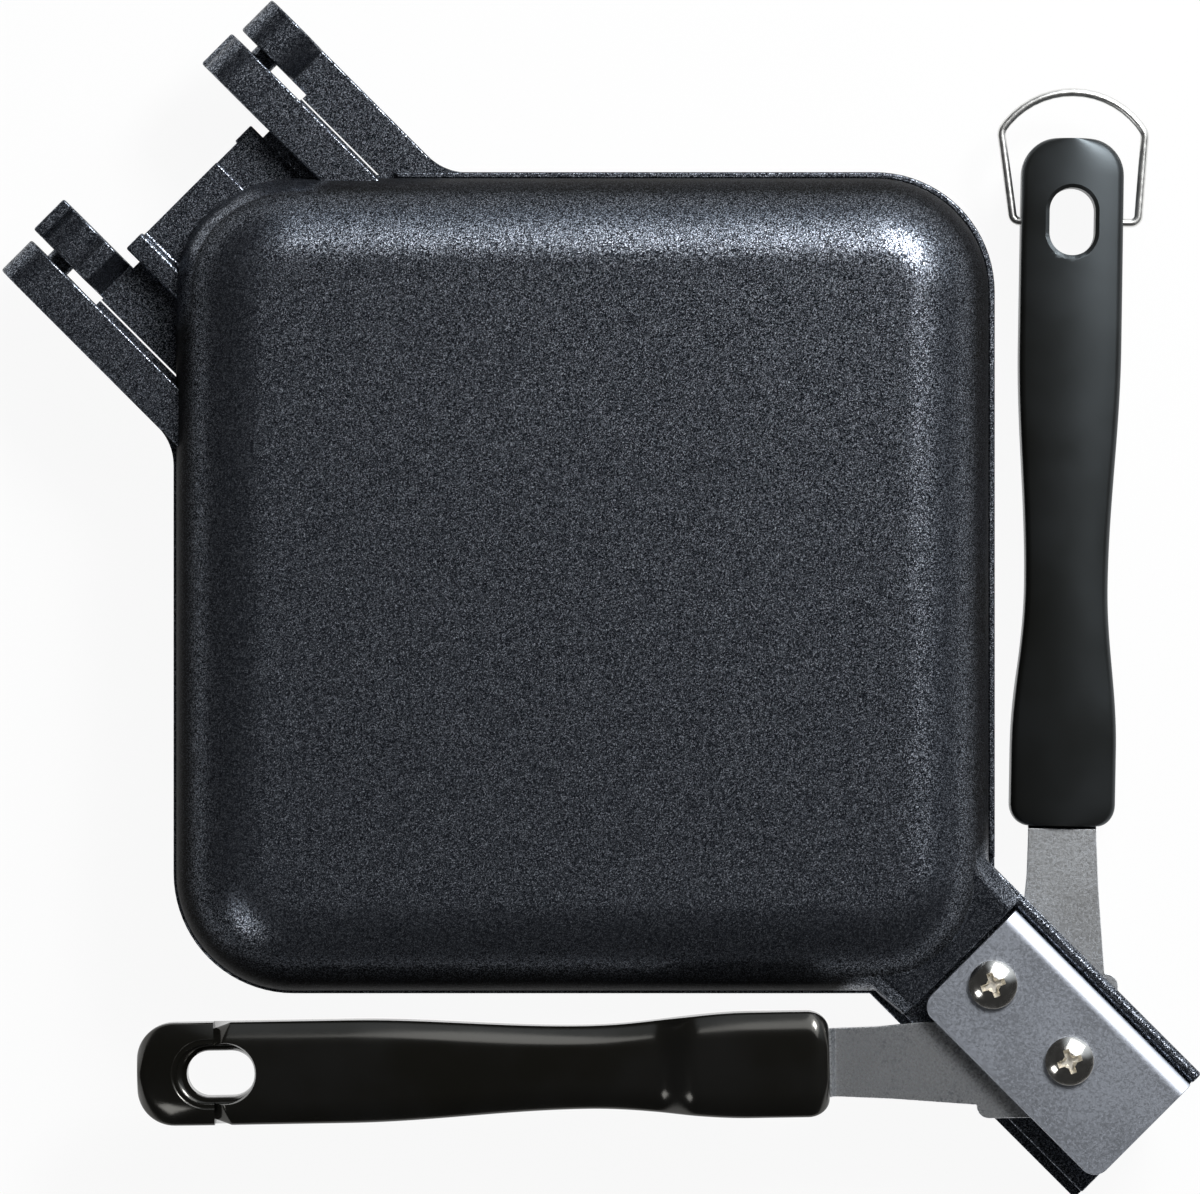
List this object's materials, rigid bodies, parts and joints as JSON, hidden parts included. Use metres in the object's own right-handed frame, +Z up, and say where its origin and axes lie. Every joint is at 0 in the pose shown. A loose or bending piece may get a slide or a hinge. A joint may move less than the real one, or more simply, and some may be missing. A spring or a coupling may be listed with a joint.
{
  "type": "pie iron",
  "caption": "Square hot-sandwich pie iron: hinged cast pans, folding handles pivoted in steel plates, and a wire locking bail.",
  "frame": {"origin": "middle of the lower pan's flat outer face, on which the closed iron rests", "axes": "+Z up through both pans; the hinge is at the -X +Y corner and the handles' pivots are at the +X -Y corner"},
  "size_m": [0.219, 0.219, 0.036],
  "materials": {
    "coated_aluminium": "dark non-stick coating with fine metallic fleck",
    "plate_steel": "satin stainless",
    "screw_steel": "bright plated",
    "spring_steel": "bright stainless",
    "strip_steel": "tumbled satin stainless",
    "grip_resin": "black phenolic, glossy outside and matt inside",
    "bail_wire": "bright drawn wire"
  },
  "bodies": {
    "lower_pan": {"lower_pan": "coated_aluminium", "lower_bracket": "plate_steel", "lower_bracket_screw": "screw_steel", "lower_pivot_screw": "screw_steel", "lower_glide_washer": "spring_steel", "lower_disc_spring": "spring_steel"},
    "upper_pan": {"upper_pan": "coated_aluminium", "upper_bracket": "plate_steel", "upper_bracket_screw": "screw_steel", "upper_pivot_screw": "screw_steel", "upper_glide_washer": "spring_steel", "upper_disc_spring": "spring_steel"},
    "upper_handle": {"upper_strip": "strip_steel", "upper_grip": "grip_resin"},
    "lower_handle": {"lower_strip": "strip_steel", "lower_grip": "grip_resin"},
    "locking_bail": {"locking_bail": "bail_wire"}
  },
  "joints": [
    {"name": "pan_hinge", "type": "hinge", "parent": "lower_pan", "child": "upper_pan", "pos_m": [-0.07716, 0.07716, 0.018], "axis": [-0.7071, -0.7071, 0], "range_deg": [0, 180]},
    {"name": "upper_handle_fold", "type": "hinge", "parent": "upper_pan", "child": "upper_handle", "pos_m": [0.08838, -0.08716, 0.02], "axis": [0, 0, 1], "range_deg": [0, 134]},
    {"name": "lower_handle_fold", "type": "hinge", "parent": "lower_pan", "child": "lower_handle", "pos_m": [0.08716, -0.08838, 0.016], "axis": [0, 0, -1], "range_deg": [0, 134]},
    {"name": "bail_swing", "type": "hinge", "parent": "lower_handle", "child": "locking_bail", "pos_m": [0.08934, 0.06611, 0.011], "axis": [0.9999, -0.0164, 0], "range_deg": [-90, 90]}
  ]
}
